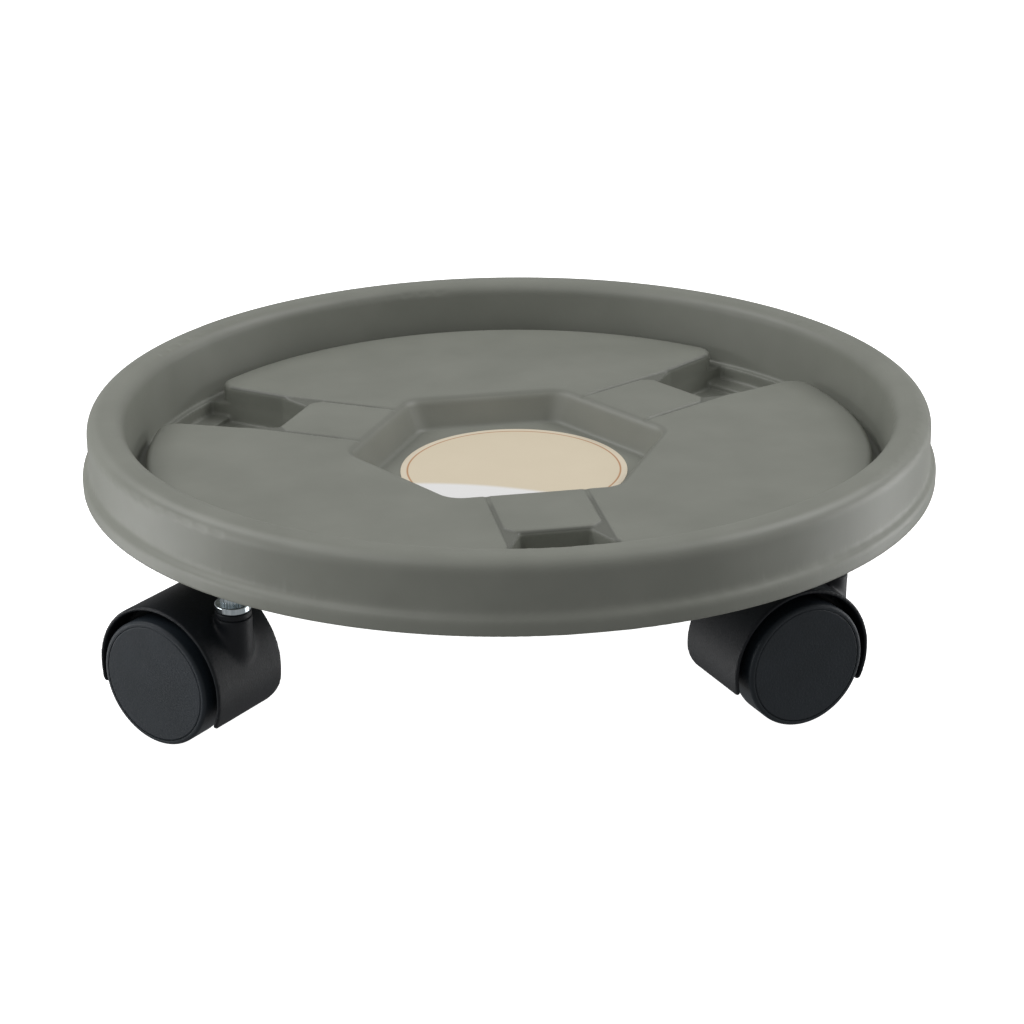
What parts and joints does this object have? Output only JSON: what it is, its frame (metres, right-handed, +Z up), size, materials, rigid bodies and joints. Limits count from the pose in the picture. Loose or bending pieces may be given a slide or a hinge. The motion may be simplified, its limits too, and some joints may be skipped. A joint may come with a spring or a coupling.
{
  "type": "plant pot caddy",
  "caption": "Round moulded plastic plant pot caddy with a raised rim, a hexagonal centre recess and drip wells, rolling on hooded swivel casters.",
  "frame": {"origin": "on the floor, under the centre of the tray", "axes": "+Z up; the front drip well lies towards -Y and the rear caster stem towards +Y"},
  "size_m": [0.3, 0.3, 0.0963],
  "materials": {
    "tray_plastic": "satin grey moulded plastic",
    "label_paper": "printed beige sticker",
    "black_plastic": "finely textured black moulded plastic",
    "wheel_plastic": "finely textured black moulded plastic",
    "nylon": "satin dark nylon",
    "zinc": "bright zinc plating",
    "spring_steel": "dull spring steel"
  },
  "bodies": {
    "tray": {"tray": "tray_plastic", "label": "label_paper", "socket_1": "nylon", "stem_1": "zinc", "grip_ring_1": "spring_steel", "stem_clip_1": "spring_steel", "socket_2": "nylon", "stem_2": "zinc", "grip_ring_2": "spring_steel", "stem_clip_2": "spring_steel", "socket_3": "nylon", "stem_3": "zinc", "grip_ring_3": "spring_steel", "stem_clip_3": "spring_steel"},
    "caster_1": {"hood_1": "black_plastic", "thrust_washer_1": "black_plastic", "axle_1": "zinc", "axle_rings_1": "spring_steel"},
    "wheel_1_left": {"wheel_1_left": "wheel_plastic", "wheel_cover_1_left": "wheel_plastic"},
    "wheel_1_right": {"wheel_1_right": "wheel_plastic", "wheel_cover_1_right": "wheel_plastic"},
    "caster_2": {"hood_2": "black_plastic", "thrust_washer_2": "black_plastic", "axle_2": "zinc", "axle_rings_2": "spring_steel"},
    "wheel_2_left": {"wheel_2_left": "wheel_plastic", "wheel_cover_2_left": "wheel_plastic"},
    "wheel_2_right": {"wheel_2_right": "wheel_plastic", "wheel_cover_2_right": "wheel_plastic"},
    "caster_3": {"hood_3": "black_plastic", "thrust_washer_3": "black_plastic", "axle_3": "zinc", "axle_rings_3": "spring_steel"},
    "wheel_3_left": {"wheel_3_left": "wheel_plastic", "wheel_cover_3_left": "wheel_plastic"},
    "wheel_3_right": {"wheel_3_right": "wheel_plastic", "wheel_cover_3_right": "wheel_plastic"}
  },
  "joints": [
    {"name": "swivel_1", "type": "hinge", "parent": "tray", "child": "caster_1", "pos_m": [0.00309, 0.11796, 0.047], "axis": [0, 0, 1], "continuous": true},
    {"name": "spin_1_left", "type": "hinge", "parent": "caster_1", "child": "wheel_1_left", "pos_m": [-0.01677, 0.12218, 0.0222], "axis": [-0.2079, -0.9781, 0], "continuous": true},
    {"name": "spin_1_right", "type": "hinge", "parent": "caster_1", "child": "wheel_1_right", "pos_m": [-0.01677, 0.12218, 0.0222], "axis": [-0.2079, -0.9781, 0], "continuous": true},
    {"name": "swivel_2", "type": "hinge", "parent": "tray", "child": "caster_2", "pos_m": [-0.1037, -0.05631, 0.047], "axis": [0, 0, 1], "continuous": true},
    {"name": "spin_2_left", "type": "hinge", "parent": "caster_2", "child": "wheel_2_left", "pos_m": [-0.1182, -0.0421, 0.0222], "axis": [-0.6997, -0.7145, 0], "continuous": true},
    {"name": "spin_2_right", "type": "hinge", "parent": "caster_2", "child": "wheel_2_right", "pos_m": [-0.1182, -0.0421, 0.0222], "axis": [-0.6997, -0.7145, 0], "continuous": true},
    {"name": "swivel_3", "type": "hinge", "parent": "tray", "child": "caster_3", "pos_m": [0.10061, -0.06166, 0.047], "axis": [0, 0, 1], "continuous": true},
    {"name": "spin_3_left", "type": "hinge", "parent": "caster_3", "child": "wheel_3_left", "pos_m": [0.08109, -0.06722, 0.0222], "axis": [0.274, -0.9617, 0], "continuous": true},
    {"name": "spin_3_right", "type": "hinge", "parent": "caster_3", "child": "wheel_3_right", "pos_m": [0.08109, -0.06722, 0.0222], "axis": [0.274, -0.9617, 0], "continuous": true}
  ]
}
